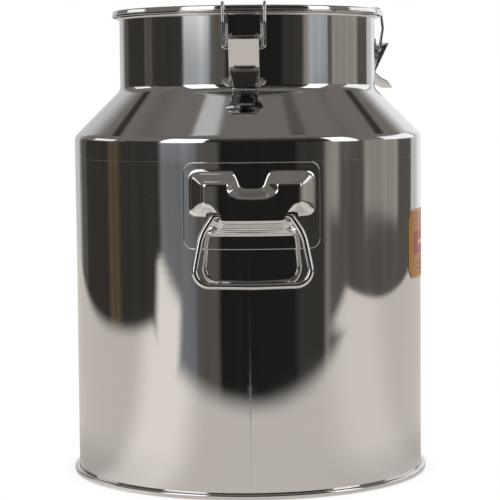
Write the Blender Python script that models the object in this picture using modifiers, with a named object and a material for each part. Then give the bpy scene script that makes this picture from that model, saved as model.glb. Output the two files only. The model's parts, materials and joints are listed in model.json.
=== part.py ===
"""Stainless steel milk can with a latched lid, in metres, +Z up.

The can stands on z = 0 with its axis on the Z axis. The front handle faces -Y.
Latches are modelled at the front of the neck and turned about the can's axis.
"""

import math

import bmesh
import bpy
from mathutils import Matrix, Vector

MM = 0.001
GAP = 0.3 * MM
TURN_STEPS = 48
FINE_STEPS = 12

# Shell radii and heights
BODY_R = 175.0 * MM
BODY_WALL = 1.0 * MM
BODY_FOOT_Z = 1.5 * MM
BODY_TOP_Z = 332.0 * MM
SKIRT_WALL = 0.8 * MM
SKIRT_LOW_Z = 317.6 * MM
SHOULDER_LOW_Z = 339.2 * MM
SHOULDER_BEND_R = 10.0 * MM
NECK_R = 129.0 * MM
NECK_WALL = 1.0 * MM
LIP_R = 2.3 * MM
LIP_TOP_Z = 460.0 * MM

# Foot
RING_OUT_R = 179.7 * MM
RING_IN_R = 170.0 * MM
RING_TOP_Z = 5.6 * MM
RING_FLANGE = 1.2 * MM
BOTTOM_Z = 12.5 * MM
BOTTOM_WALL = 1.0 * MM
BOTTOM_RISE = 2.0 * MM

# Lid
LID_TOP_Z = 464.6 * MM
LID_OUT_R = 136.5 * MM
LID_EDGE_Z = 458.0 * MM
LID_WALL = 1.2 * MM
LID_CREST_R = 4.5 * MM
LID_WELL_R = 123.5 * MM
LID_WELL_BEND = 3.0 * MM
LID_FLOOR_Z = 444.6 * MM
SEAL_OUT_R = 133.0 * MM
STRAP_WIDTH = 22.0 * MM
STRAP_THICK = 1.8 * MM
STRAP_HALF = 52.0 * MM
STRAP_ARM_FOOT = 38.0 * MM
STRAP_ARM_TOP = 30.0 * MM
STRAP_TOP_Z = 464.1 * MM

# Handles
HANDLE_PLATE_W = 127.0 * MM
HANDLE_PLATE_LOW_Z = 236.3 * MM
HANDLE_PLATE_TOP_Z = 316.8 * MM
HANDLE_PLATE_CORNER = 9.0 * MM
HANDLE_SHEET = 1.2 * MM
BOSS_RISE = 12.5 * MM
SLOT_X = 36.6 * MM
SLOT_HALF_W = 7.0 * MM
SLOT_LOW_Z = 261.5 * MM
SLOT_TOP_Z = 271.5 * MM
HANDLE_PIVOT_Y = -180.0 * MM
HANDLE_PIVOT_Z = 267.5 * MM
HANDLE_WIRE_R = 3.0 * MM
HANDLE_HANG_TILT = math.radians(6.0)

# Latches, with the fulcrum's and bail eye's distance from the can's axis
LATCH_AZIMUTHS = (-2.4, 107.6, 227.6)
LATCH_HALF_W = 14.5 * MM
LATCH_SHEET = 1.2 * MM
FULCRUM = (NECK_R + 4.0 * MM, 434.7 * MM)
BAIL_EYE = (NECK_R + 8.0 * MM, 424.0 * MM)
LEVER_TOP = (NECK_R + 20.2 * MM, 432.0 * MM)
LEVER_FOLD = (NECK_R + 4.6 * MM, 402.1 * MM)
LEVER_TIP = (NECK_R + 24.0 * MM, 386.6 * MM)
TAB_HALF_W = 21.0 * MM
TAB_HALF_L = 9.2 * MM
EYE_R = 2.6 * MM
CROSS_HOLE_L = 60.0 * MM
PIN_R = 1.2 * MM
PIN_HEAD_R = 2.3 * MM
PIN_HALF_L = 16.7 * MM
PIN_HEAD_T = 1.95 * MM
BAIL_WIRE_R = 1.5 * MM
BAIL_HALF_W = 19.9 * MM

# Label, on the right side
LABEL_FROM = 62.5
LABEL_TO = 97.0
LABEL_LOW_Z = 197.0 * MM
LABEL_TOP_Z = 266.0 * MM
LABEL_CORNER = 14.0 * MM
LABEL_THICK = 0.3 * MM


# ---------------------------------------------------------------- helpers


def clear_scene():
    for item in list(bpy.data.objects):
        bpy.data.objects.remove(item)


def finish(name, colour, roughness, metallic):
    """A Principled material with one colour."""
    material = bpy.data.materials.new(name)
    material.use_nodes = True
    shader = material.node_tree.nodes["Principled BSDF"]
    shader.inputs["Base Color"].default_value = (*colour, 1.0)
    shader.inputs["Roughness"].default_value = roughness
    shader.inputs["Metallic"].default_value = metallic
    return material


def rounded(points, radii, closed=False, steps=2):
    """The polyline through points, with an arc of the given radius at each corner."""
    corners = [Vector(p) for p in points]
    count = len(corners)
    result = []
    for i, corner in enumerate(corners):
        radius = radii[i]
        at_end = not closed and i in (0, count - 1)
        if at_end or radius == 0:
            result.append(corner)
            continue
        before = (corners[i - 1] - corner).normalized()
        after = (corners[(i + 1) % count] - corner).normalized()
        half = before.angle(after) / 2
        setback = radius / math.tan(half)
        centre = corner + (before + after).normalized() * (radius / math.sin(half))
        start = corner + before * setback - centre
        end = corner + after * setback - centre
        sweep = start.angle(end)
        for k in range(steps + 1):
            part = k / steps
            weights = (math.sin((1 - part) * sweep), math.sin(part * sweep))
            result.append(centre + (start * weights[0] + end * weights[1]) / math.sin(sweep))
    return result


def arc(centre, radius, start, end, steps):
    """Points round a circle in a plane, from one angle to another, in degrees."""
    angles = [math.radians(start + (end - start) * k / steps) for k in range(steps + 1)]
    return [(centre[0] + radius * math.cos(a), centre[1] + radius * math.sin(a)) for a in angles]


def mirrored(half):
    """A closed outline from its right half, which runs from x = 0 round to x = 0."""
    return list(half) + [(-x, z) for x, z in reversed(half) if x > 0]


def band(path, thickness):
    """The outline of a strip of constant thickness that follows a flat path."""
    path = [Vector(p) for p in path]
    sides = ([], [])
    for i, point in enumerate(path):
        before = (point - path[max(i - 1, 0)]).normalized()
        after = (path[min(i + 1, len(path) - 1)] - point).normalized()
        along = (before + after).normalized()
        across = Vector((-along.y, along.x))
        stretch = max(along.dot(after), along.dot(before))
        for side, sign in zip(sides, (1, -1)):
            side.append(point + across * (sign * thickness / 2 / stretch))
    return sides[0] + sides[1][::-1]


def new_object(name, data, collection=None):
    item = bpy.data.objects.new(name, data)
    (collection or bpy.context.scene.collection).objects.link(item)
    return item


def baked(item, matrix=None):
    """The evaluated mesh of an object, welded and moved by matrix. The object is removed."""
    bpy.context.view_layer.update()
    mesh = bpy.data.meshes.new_from_object(item.evaluated_get(bpy.context.evaluated_depsgraph_get()))
    work = bmesh.new()
    work.from_mesh(mesh)
    bmesh.ops.remove_doubles(work, verts=work.verts, dist=0.01 * MM)
    work.to_mesh(mesh)
    work.free()
    if matrix is not None:
        mesh.transform(matrix)
    bpy.data.objects.remove(item)
    return mesh


def turned(name, outline, steps=TURN_STEPS):
    """A mesh turned about Z. The outline is (radius, z), down the outer side first; it is
    closed unless it starts and ends on the axis."""
    mesh = bpy.data.meshes.new(name)
    count = len(outline)
    edges = [(i, i + 1) for i in range(count - 1)]
    if outline[0][0] > 0:
        edges.append((count - 1, 0))
    mesh.from_pydata([(p[0], 0, p[1]) for p in outline], edges, [])
    item = new_object(name, mesh)
    screw = item.modifiers.new("turn", "SCREW")
    screw.steps = steps
    screw.render_steps = steps
    screw.use_merge_vertices = True
    screw.merge_threshold = 0.01 * MM
    return baked(item)


def cut_out(outline, thickness, matrix):
    """A flat sheet of the given outline, lying in XY about z = 0, then moved by matrix."""
    curve = bpy.data.curves.new("outline", "CURVE")
    curve.dimensions = "2D"
    curve.fill_mode = "BOTH"
    curve.extrude = thickness / 2
    spline = curve.splines.new("POLY")
    spline.points.add(len(outline) - 1)
    for point, place in zip(spline.points, outline):
        point.co = (place[0], place[1], 0, 1)
    spline.use_cyclic_u = True
    return baked(new_object("outline", curve), matrix)


def wire(path, radius, cyclic):
    """A round wire along a path, as a mesh with welded ends."""
    curve = bpy.data.curves.new("wire", "CURVE")
    curve.dimensions = "3D"
    curve.bevel_depth = radius
    curve.bevel_resolution = 2
    curve.use_fill_caps = True
    spline = curve.splines.new("POLY")
    spline.points.add(len(path) - 1)
    for point, place in zip(spline.points, path):
        point.co = (*place, 1)
    spline.use_cyclic_u = cyclic
    return baked(new_object("wire", curve))


def block(low, high):
    """A box between two corners."""
    mesh = bpy.data.meshes.new("block")
    work = bmesh.new()
    size = Vector(high) - Vector(low)
    middle = (Vector(high) + Vector(low)) / 2
    bmesh.ops.create_cube(work, size=1, matrix=Matrix.Translation(middle) @ Matrix.Diagonal((*size, 1)))
    work.to_mesh(mesh)
    work.free()
    return mesh


def drum(radius, length, matrix, sides=FINE_STEPS):
    """A cylinder about its own Z, moved by matrix."""
    mesh = bpy.data.meshes.new("drum")
    work = bmesh.new()
    bmesh.ops.create_cone(
        work, cap_ends=True, segments=sides, radius1=radius, radius2=radius, depth=length, matrix=matrix
    )
    work.to_mesh(mesh)
    work.free()
    return mesh


def combined(base, steps):
    """The mesh base after a list of (operation, mesh) Booleans."""
    item = new_object("base", base)
    tools = []
    for operation, mesh in steps:
        tool = new_object("tool", mesh)
        cut = item.modifiers.new(operation, "BOOLEAN")
        cut.operation = operation
        cut.solver = "EXACT"
        cut.object = tool
        tools.append(tool)
    mesh = baked(item)
    for tool in tools:
        bpy.data.objects.remove(tool)
    return mesh


def lofted(lower, upper, y_lower, y_upper):
    """A solid between two outlines of equal count, standing in XZ at two depths."""
    mesh = bpy.data.meshes.new("loft")
    work = bmesh.new()
    levels = ((lower, y_lower), (upper, y_upper))
    rings = [[work.verts.new((x, y, z)) for x, z in loop] for loop, y in levels]
    count = len(lower)
    for i in range(count):
        j = (i + 1) % count
        work.faces.new((rings[0][i], rings[0][j], rings[1][j], rings[1][i]))
    for ring in rings:
        work.faces.new(ring)
    bmesh.ops.recalc_face_normals(work, faces=work.faces)
    bmesh.ops.triangulate(work, faces=work.faces)
    work.to_mesh(mesh)
    work.free()
    return mesh


def inset(outline, distance):
    """A closed outline moved inwards. The outline runs clockwise."""
    corners = [Vector(p) for p in outline]
    result = []
    for i, corner in enumerate(corners):
        before = (corner - corners[i - 1]).normalized()
        after = (corners[(i + 1) % len(corners)] - corner).normalized()
        normal = Vector((before.y + after.y, -before.x - after.x)).normalized()
        reach = normal.dot(Vector((before.y, -before.x)))
        result.append(tuple(corner + normal * (distance / reach)))
    return result


def wrapped(mesh, radius, spacing):
    """A mesh laid round the front of a cylinder: its depth -y becomes height above the radius."""
    work = bmesh.new()
    work.from_mesh(mesh)
    reach = max(abs(v.co.x) for v in work.verts)
    count = int(reach / spacing)
    for k in range(-count, count + 1):
        everything = work.verts[:] + work.edges[:] + work.faces[:]
        bmesh.ops.bisect_plane(work, geom=everything, plane_co=(k * spacing, 0, 0), plane_no=(1, 0, 0))
    for vert in work.verts:
        vert.co.y = -math.sqrt((radius - vert.co.y) ** 2 - vert.co.x**2)
    bmesh.ops.remove_doubles(work, verts=work.verts, dist=0.01 * MM)
    work.to_mesh(mesh)
    work.free()
    return mesh


# ---------------------------------------------------------------- shells


def body_cylinder():
    """Rolled sheet shell."""
    inner = BODY_R - BODY_WALL
    return turned(
        "body_cylinder",
        [(BODY_R, BODY_TOP_Z), (BODY_R, BODY_FOOT_Z), (inner, BODY_FOOT_Z), (inner, BODY_TOP_Z)],
    )


def shoulder_neck():
    """Skirt, 45 degree shoulder, straight neck and rolled mouth lip, in one piece."""
    skirt_in = BODY_R + GAP
    skirt_out = skirt_in + SKIRT_WALL
    shoulder_top_z = SHOULDER_LOW_Z + skirt_out - NECK_R
    neck_in = NECK_R - NECK_WALL
    lip = (neck_in + LIP_R, LIP_TOP_Z - LIP_R)
    slant_drop = (NECK_WALL + SKIRT_WALL) / 2 * (math.sqrt(2) - 1)
    outer = rounded(
        [
            (NECK_R, lip[1] - LIP_R),
            (NECK_R, shoulder_top_z),
            (skirt_out, SHOULDER_LOW_Z),
            (skirt_out, SKIRT_LOW_Z),
        ],
        (0, SHOULDER_BEND_R, SHOULDER_BEND_R, 0),
    )
    inner = rounded(
        [
            (skirt_in, SKIRT_LOW_Z),
            (skirt_in, SHOULDER_LOW_Z - slant_drop),
            (neck_in, shoulder_top_z - slant_drop),
            (neck_in, lip[1]),
        ],
        (0, SHOULDER_BEND_R - SKIRT_WALL, SHOULDER_BEND_R + NECK_WALL, 0),
    )
    bead = arc(lip, LIP_R, 150, -110, 6)
    return turned("shoulder_neck", bead + [tuple(p) for p in outer + inner])


def bottom_plate():
    """Domed disc with a down-turned flange that stands inside the body's foot."""
    outer = BODY_R - BODY_WALL - GAP
    inner = outer - BOTTOM_WALL
    bend = 5.0 * MM
    top = rounded(
        [(0, BOTTOM_Z + BOTTOM_RISE), (outer, BOTTOM_Z), (outer, BODY_FOOT_Z)], (0, bend, 0)
    )
    under = rounded(
        [
            (inner, BODY_FOOT_Z),
            (inner, BOTTOM_Z - BOTTOM_WALL),
            (0, BOTTOM_Z + BOTTOM_RISE - BOTTOM_WALL),
        ],
        (0, bend - BOTTOM_WALL, 0),
    )
    return turned("bottom_plate", [tuple(p) for p in top + under])


def base_ring():
    """Foot ring: a bead outside the body and a flat flange under its edge."""
    seat = BODY_R + GAP
    outline = rounded(
        [
            (seat, RING_TOP_Z),
            (RING_OUT_R, RING_TOP_Z),
            (RING_OUT_R, 0),
            (RING_IN_R, 0),
            (RING_IN_R, RING_FLANGE),
            (seat, RING_FLANGE),
        ],
        (0, 2.2 * MM, 1.7 * MM, 0, 0, 0),
        closed=True,
    )
    return turned("base_ring", outline)


# ---------------------------------------------------------------- lid


def lid_pan():
    """Recessed pan whose rim turns over the mouth lip."""
    well_out = LID_WELL_R + LID_WALL
    upper = rounded(
        [
            (0, LID_FLOOR_Z),
            (LID_WELL_R, LID_FLOOR_Z),
            (LID_WELL_R, LID_TOP_Z),
            (LID_OUT_R, LID_TOP_Z),
            (LID_OUT_R, LID_EDGE_Z),
        ],
        (0, LID_WELL_BEND, LID_WELL_BEND, LID_CREST_R, 0),
    )
    lower = rounded(
        [
            (LID_OUT_R - LID_WALL, LID_EDGE_Z),
            (LID_OUT_R - LID_WALL, LID_TOP_Z - LID_WALL),
            (well_out, LID_TOP_Z - LID_WALL),
            (well_out, LID_FLOOR_Z - LID_WALL),
            (0, LID_FLOOR_Z - LID_WALL),
        ],
        (0, LID_CREST_R - LID_WALL, LID_WELL_BEND - LID_WALL, LID_WELL_BEND + LID_WALL, 0),
    )
    return turned("lid_pan", [tuple(p) for p in upper + lower])


def lid_seal():
    """Flat silicone ring between the lid's rim and the mouth lip."""
    inner = LID_WELL_R + LID_WALL + GAP
    top = LID_TOP_Z - LID_WALL - GAP
    low = LIP_TOP_Z + GAP
    bevel = 1.6 * MM
    return turned(
        "lid_seal",
        [
            (inner + bevel, top),
            (SEAL_OUT_R - bevel, top),
            (SEAL_OUT_R, top - bevel),
            (SEAL_OUT_R, low),
            (inner, low),
            (inner, top - bevel),
        ],
    )


def lid_handle():
    """Bent strap across the recess, wide enough for four fingers."""
    foot_z = LID_FLOOR_Z + GAP + STRAP_THICK / 2
    top_z = STRAP_TOP_Z - STRAP_THICK / 2
    half = [(STRAP_HALF, foot_z), (STRAP_ARM_FOOT, foot_z), (STRAP_ARM_TOP, top_z)]
    path = half + [(-x, z) for x, z in reversed(half)]
    bend = 4.0 * MM
    outline = band(rounded(path, (0, bend, bend, bend, bend, 0)), STRAP_THICK)
    upright = Matrix.Rotation(math.pi / 2, 4, "X")
    return cut_out(outline, STRAP_WIDTH, upright)


# ---------------------------------------------------------------- handles


def boss_outlines():
    """The raised form's outline at the plate and at its flat top, clockwise from the notch."""
    foot = (
        (0, 291.5),
        (8.0, 291.5),
        (12.5, 295.5),
        (16.5, 308.5),
        (54.0, 308.5),
        (57.5, 305.0),
        (57.5, 272.5),
        (53.5, 268.5),
        (42.0, 268.0),
        (36.5, 262.0),
        (36.0, 258.0),
        (41.0, 254.5),
        (40.0, 249.5),
        (0, 249.5),
    )
    crown = (
        (0, 284.0),
        (14.0, 284.5),
        (20.0, 289.0),
        (23.5, 297.5),
        (45.0, 297.5),
        (46.5, 296.0),
        (46.5, 279.5),
        (45.0, 278.0),
        (38.5, 277.0),
        (32.5, 269.0),
        (31.5, 266.0),
        (31.0, 264.6),
        (30.0, 263.6),
        (0, 263.6),
    )
    return [mirrored([(x * MM, z * MM) for x, z in half]) for half in (foot, crown)]


def handle_plate():
    """Pressed plate with a hollow raised form, laid round the body. It holds the bail's top bar."""
    foot, crown = boss_outlines()
    half = [(HANDLE_PLATE_W / 2, HANDLE_PLATE_LOW_Z), (HANDLE_PLATE_W / 2, HANDLE_PLATE_TOP_Z)]
    corners = half + [(-x, z) for x, z in reversed(half)]
    outline = rounded(corners, [HANDLE_PLATE_CORNER] * 4, closed=True)
    upright = Matrix.Rotation(math.pi / 2, 4, "X")
    plate = cut_out(outline, HANDLE_SHEET, Matrix.Translation((0, -HANDLE_SHEET / 2, 0)) @ upright)
    crown_y = -(HANDLE_SHEET + BOSS_RISE)
    boss = lofted(foot, crown, -HANDLE_SHEET / 2, crown_y)
    wall = HANDLE_SHEET * 1.15
    hollow = lofted(inset(foot, wall), inset(crown, wall), 1.0 * MM, crown_y + HANDLE_SHEET)
    near, far = crown_y * 1.3, -2 * HANDLE_SHEET
    slots = [
        block((middle - SLOT_HALF_W, near, SLOT_LOW_Z), (middle + SLOT_HALF_W, far, SLOT_TOP_Z))
        for middle in (SLOT_X, -SLOT_X)
    ]
    flat = combined(
        plate,
        [("UNION", boss), ("DIFFERENCE", hollow), ("DIFFERENCE", slots[0]), ("DIFFERENCE", slots[1])],
    )
    return wrapped(flat, BODY_R + GAP, 15.8 * MM)


def handle_bail():
    """Closed trapezoid of wire, drawn about its top bar, which is the hinge axis along X."""
    half = [(36.0, 0.0), (47.3, -17.0), (56.8, -64.3), (0.0, -65.6)]
    radii = [6.0, 45.0, 14.0, 0.0]
    both = half + [(-x, z) for x, z in half[-2::-1]]
    corners = [(x * MM, 0, z * MM) for x, z in both]
    path = rounded(corners, [r * MM for r in radii + radii[-2::-1]], closed=True, steps=4)
    mesh = wire(path, HANDLE_WIRE_R, cyclic=True)
    mesh.transform(Matrix.Rotation(-HANDLE_HANG_TILT, 4, "X"))
    return mesh


# ---------------------------------------------------------------- latches


def side_view():
    """Turns a flat piece drawn as (distance from the can's axis, z) to stand across the latch."""
    return Matrix(((0, 0, 1, 0), (-1, 0, 0, 0), (0, 1, 0, 0), (0, 0, 0, 1)))


def cross_hole(centre, radius):
    """A drum along X, longer than a latch is wide, through a point (distance from the axis, z)."""
    turn = Matrix.Rotation(math.pi / 2, 4, "Y")
    return drum(radius, CROSS_HOLE_L, Matrix.Translation((0, -centre[0], centre[1])) @ turn)


def latch_bracket():
    """Plate curved to the neck, with two ears for the fulcrum pin."""
    half_w = 12.4 * MM
    ear_x = half_w - 0.6 * MM
    plate_r = NECK_R + 1.5 * MM
    plate = block((-half_w, -plate_r, 412 * MM), (half_w, -NECK_R + 2 * MM, 440 * MM))
    outline = [
        (NECK_R - 1.0 * MM, 426.5 * MM),
        (NECK_R + 2.8 * MM, 427.6 * MM),
        *arc(FULCRUM, EYE_R, -25, 115, 5),
        (NECK_R - 1.0 * MM, 438.6 * MM),
    ]
    ears = [
        cut_out(outline, 1.1 * MM, Matrix.Translation((side * ear_x, 0, 0)) @ side_view())
        for side in (1, -1)
    ]
    neck = drum(NECK_R + GAP, 60 * MM, Matrix.Translation((0, 0, FULCRUM[1])), sides=128)
    return combined(
        plate,
        [
            ("UNION", ears[0]),
            ("UNION", ears[1]),
            ("DIFFERENCE", neck),
            ("DIFFERENCE", cross_hole(FULCRUM, PIN_R + GAP)),
        ],
    )


def latch_pin():
    """Fulcrum pin with a head at each end."""
    head = PIN_HALF_L - PIN_HEAD_T
    edge = 0.4 * MM
    half = [
        (0, PIN_HALF_L),
        (PIN_HEAD_R - edge, PIN_HALF_L),
        (PIN_HEAD_R, PIN_HALF_L - edge),
        (PIN_HEAD_R, head),
        (PIN_R, head),
    ]
    mesh = turned("latch_pin", half + [(r, -z) for r, z in reversed(half)], FINE_STEPS)
    along_x = Matrix.Rotation(math.pi / 2, 4, "Y")
    mesh.transform(Matrix.Translation((0, -FULCRUM[0], FULCRUM[1])) @ along_x)
    return mesh


def lever_flange_outline():
    """Side flange: an eye round the fulcrum, a lug round the bail's eye, and a strip along the plate."""
    r0 = NECK_R
    return [
        *arc(FULCRUM, EYE_R, 200, -10, 7),
        (r0 + 7.2 * MM, 430.6 * MM),
        (r0 + 9.8 * MM, 428.6 * MM),
        (r0 + 19.4 * MM, 431.2 * MM),
        (r0 + 5.9 * MM, 405.0 * MM),
        (r0 + 5.3 * MM, 405.8 * MM),
        *arc(BAIL_EYE, 3.0 * MM, -50, -180, 4),
        (r0 + 3.2 * MM, 428.6 * MM),
    ]


def latch_lever():
    """Stamped lever: a tilted plate that folds out into an oval finger tab, with side flanges."""
    path = rounded([LEVER_TOP, LEVER_FOLD, LEVER_TIP], (0, 2.0 * MM, 0))
    tab_along = (Vector(LEVER_TIP) - Vector(LEVER_FOLD)).normalized()
    tab_centre = Vector(LEVER_TIP) - tab_along * TAB_HALF_L
    strip_path = path[:-1] + [tab_centre]
    strip = cut_out(band(strip_path, LATCH_SHEET), 2 * LATCH_HALF_W, side_view())
    slope = math.atan2(-tab_along.y, tab_along.x)
    tab = drum(1, 1.5 * MM, Matrix.Identity(4), sides=20)
    tab.transform(
        Matrix.Translation((0, -tab_centre.x, tab_centre.y))
        @ Matrix.Rotation(slope, 4, "X")
        @ Matrix.Diagonal((TAB_HALF_W, TAB_HALF_L, 1, 1))
    )
    flange_x = LATCH_HALF_W - 0.7 * MM
    flanges = [
        cut_out(lever_flange_outline(), 1.0 * MM, Matrix.Translation((x, 0, 0)) @ side_view())
        for x in (flange_x, -flange_x)
    ]
    return combined(
        strip,
        [
            ("UNION", tab),
            ("UNION", flanges[0]),
            ("UNION", flanges[1]),
            ("DIFFERENCE", cross_hole(FULCRUM, PIN_R + GAP)),
            ("DIFFERENCE", cross_hole(BAIL_EYE, BAIL_WIRE_R + GAP)),
        ],
    )


def latch_bail():
    """Wire from one lever eye, up outside the rim, over its crest and back to the other eye."""
    side = BAIL_HALF_W
    crest_z = LID_TOP_Z + BAIL_WIRE_R + 2 * GAP
    half = [
        (side - 7.0 * MM, BAIL_EYE[0], BAIL_EYE[1]),
        (side, BAIL_EYE[0], BAIL_EYE[1]),
        (side, NECK_R + 9.8 * MM, 437.0 * MM),
        (side, NECK_R + 11.6 * MM, 448.0 * MM),
        (side, NECK_R + 9.9 * MM, 461.5 * MM),
        (side, NECK_R + 7.6 * MM, crest_z),
        (side, NECK_R - 2.0 * MM, crest_z),
    ]
    radii = [r * MM for r in (0, 3.2, 0, 0, 3.0, 2.5, 3.2)]
    path = [(x, -r, z) for x, r, z in half] + [(-x, -r, z) for x, r, z in reversed(half)]
    return wire(rounded(path, radii + radii[::-1]), BAIL_WIRE_R, cyclic=False)


# ---------------------------------------------------------------- label


def label():
    """Thin sticker on the body, drawn flat at the front and turned to the right side."""
    half_w = BODY_R * math.sin(math.radians(LABEL_TO - LABEL_FROM) / 2)
    half = [(half_w, LABEL_LOW_Z), (half_w, LABEL_TOP_Z)]
    corners = half + [(-x, z) for x, z in reversed(half)]
    outline = rounded(corners, [LABEL_CORNER] * 4, closed=True)
    place = Matrix.Translation((0, -LABEL_THICK / 2, 0)) @ Matrix.Rotation(math.pi / 2, 4, "X")
    return wrapped(cut_out(outline, LABEL_THICK, place), BODY_R + GAP, 12.0 * MM)


# ---------------------------------------------------------------- assembly


def place(name, mesh, material, collection, parent, pivot=(0, 0, 0)):
    """One named node. Its origin is at pivot, which is a point of its parent's frame."""
    item = new_object(name, mesh, collection)
    if not mesh.get("centred"):
        mesh.transform(Matrix.Translation(-Vector(pivot)))
        mesh["centred"] = True
        mesh.shade_smooth()
        mesh.set_sharp_from_angle(angle=math.radians(35))
        mesh.materials.append(material)
    item.location = pivot
    item.parent = parent
    return item


def turntable(name, degrees, collection, parent):
    """An empty on the can's axis that turns what is parented to it."""
    empty = new_object(name, None, collection)
    empty.rotation_euler.z = math.radians(degrees)
    empty.parent = parent
    return empty


def main():
    clear_scene()
    collection = bpy.data.collections.new("milk_can")
    bpy.context.scene.collection.children.link(collection)
    root = new_object("can_axis", None, collection)

    polished = (0.66, 0.64, 0.62)
    turned_parts = (
        ("body_cylinder", body_cylinder, polished, 0.10, 1.0),
        ("shoulder_neck", shoulder_neck, polished, 0.08, 1.0),
        ("bottom_plate", bottom_plate, polished, 0.25, 1.0),
        ("base_ring", base_ring, polished, 0.15, 1.0),
        ("lid_pan", lid_pan, polished, 0.10, 1.0),
        ("lid_seal", lid_seal, (0.85, 0.84, 0.80), 0.55, 0.0),
        ("lid_handle", lid_handle, polished, 0.20, 1.0),
    )
    for name, maker, colour, roughness, metallic in turned_parts:
        place(name, maker(), finish(name, colour, roughness, metallic), collection, root)

    side = turntable("label_side", (LABEL_FROM + LABEL_TO) / 2, collection, root)
    place("label", label(), finish("label", (0.85, 0.55, 0.08), 0.35, 0.0), collection, side)

    plate_mesh = handle_plate()
    bail_mesh = handle_bail()
    bail_mesh.transform(Matrix.Translation((0, HANDLE_PIVOT_Y, HANDLE_PIVOT_Z)))
    plate_finish = finish("handle_plate", polished, 0.10, 1.0)
    bail_finish = finish("handle_bail", polished, 0.14, 1.0)
    for where, degrees in (("front", 0), ("back", 180)):
        side = turntable(f"handle_{where}_side", degrees, collection, root)
        place(f"handle_plate_{where}", plate_mesh, plate_finish, collection, side)
        pivot = (0, HANDLE_PIVOT_Y, HANDLE_PIVOT_Z)
        place(f"handle_bail_{where}", bail_mesh, bail_finish, collection, side, pivot)

    fulcrum = (0, -FULCRUM[0], FULCRUM[1])
    eye = (0, -BAIL_EYE[0], BAIL_EYE[1])
    latch_parts = (
        ("bracket", latch_bracket(), finish("latch_bracket", polished, 0.18, 1.0), (0, 0, 0)),
        ("pin", latch_pin(), finish("latch_pin", polished, 0.18, 1.0), fulcrum),
        ("lever", latch_lever(), finish("latch_lever", polished, 0.12, 1.0), fulcrum),
        ("bail", latch_bail(), finish("latch_bail", polished, 0.15, 1.0), eye),
    )
    for number, degrees in enumerate(LATCH_AZIMUTHS, start=1):
        side = turntable(f"latch_{number}_side", degrees, collection, root)
        for piece, mesh, material, pivot in latch_parts:
            place(f"latch_{number}_{piece}", mesh, material, collection, side, pivot)


main()
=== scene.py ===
"""Stainless milk can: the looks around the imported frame.

Fine turned shells, pressed handle plates, bent wire and stamped latches stand in for the CAD
solids. The world is a studio drawn by direction, because mirror steel only shows what is round it.
"""

import json
import math

import bmesh
import bpy
import numpy as np
from mathutils import Matrix, Vector


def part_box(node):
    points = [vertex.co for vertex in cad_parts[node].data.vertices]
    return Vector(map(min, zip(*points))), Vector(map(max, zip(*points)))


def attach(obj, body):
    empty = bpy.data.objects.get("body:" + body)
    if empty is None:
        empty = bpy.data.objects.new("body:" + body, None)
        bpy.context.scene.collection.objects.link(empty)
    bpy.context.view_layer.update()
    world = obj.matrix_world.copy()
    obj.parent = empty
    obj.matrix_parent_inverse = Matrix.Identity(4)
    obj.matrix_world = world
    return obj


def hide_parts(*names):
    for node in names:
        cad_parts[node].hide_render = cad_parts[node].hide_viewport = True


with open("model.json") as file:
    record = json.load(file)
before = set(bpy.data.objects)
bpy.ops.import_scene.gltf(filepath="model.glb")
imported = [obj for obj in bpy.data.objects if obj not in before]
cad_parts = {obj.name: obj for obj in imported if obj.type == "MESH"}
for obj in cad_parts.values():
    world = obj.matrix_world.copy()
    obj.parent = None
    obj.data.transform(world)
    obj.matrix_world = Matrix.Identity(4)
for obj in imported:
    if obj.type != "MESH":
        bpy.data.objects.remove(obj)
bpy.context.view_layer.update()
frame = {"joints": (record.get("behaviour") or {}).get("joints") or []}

MM = 0.001
GAP = 0.3 * MM
TURNS = 360
SHARP = math.radians(38)

# Camera: place relative to the can's axis, and aim
CAMERA_AZIMUTH = -1.1
CAMERA_DISTANCE = 1.9583
CAMERA_HEIGHT = 0.3768
CAMERA_PITCH = math.radians(4.205)
CAMERA_ROLL = math.radians(-0.469)
CAMERA_YAW = -0.0007
CAMERA_LENS = 138.3
CAMERA_SHIFT = -0.0219

# Shells
BODY_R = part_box("body_cylinder")[1].x
BODY_FOOT_Z, BODY_TOP_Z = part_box("body_cylinder")[0].z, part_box("body_cylinder")[1].z
BODY_WALL = 1.0 * MM
SKIRT_LOW_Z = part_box("shoulder_neck")[0].z
SKIRT_WALL = 0.3 * MM
FLARE_LOW_Z = 200.0 * MM
SHOULDER_LOW_Z = 339.2 * MM
SHOULDER_BEND_R = 10.0 * MM
NECK_R = 129.0 * MM
NECK_WALL = 1.0 * MM
LIP_R = 2.3 * MM
LIP_TOP_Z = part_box("shoulder_neck")[1].z
RING_OUT_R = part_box("base_ring")[1].x
RING_IN_R = 170.0 * MM
RING_TOP_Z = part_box("base_ring")[1].z
RING_FLANGE = 1.2 * MM
BOTTOM_Z = 12.5 * MM
BOTTOM_WALL = 1.0 * MM
BOTTOM_RISE = 2.0 * MM
SEAM_AZIMUTH = math.radians(-0.95)

# Lid
LID_OUT_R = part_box("lid_pan")[1].x
LID_TOP_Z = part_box("lid_pan")[1].z
LID_EDGE_Z = 458.0 * MM
LID_WALL = 1.2 * MM
LID_CREST_R = 4.5 * MM
LID_WELL_R = 123.5 * MM
LID_WELL_BEND = 3.0 * MM
LID_FLOOR_Z = 444.6 * MM
SEAL_OUT_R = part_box("lid_seal")[1].x
STRAP_TOP_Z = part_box("lid_handle")[1].z
STRAP_WIDTH = 22.0 * MM
STRAP_THICK = 1.8 * MM

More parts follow.
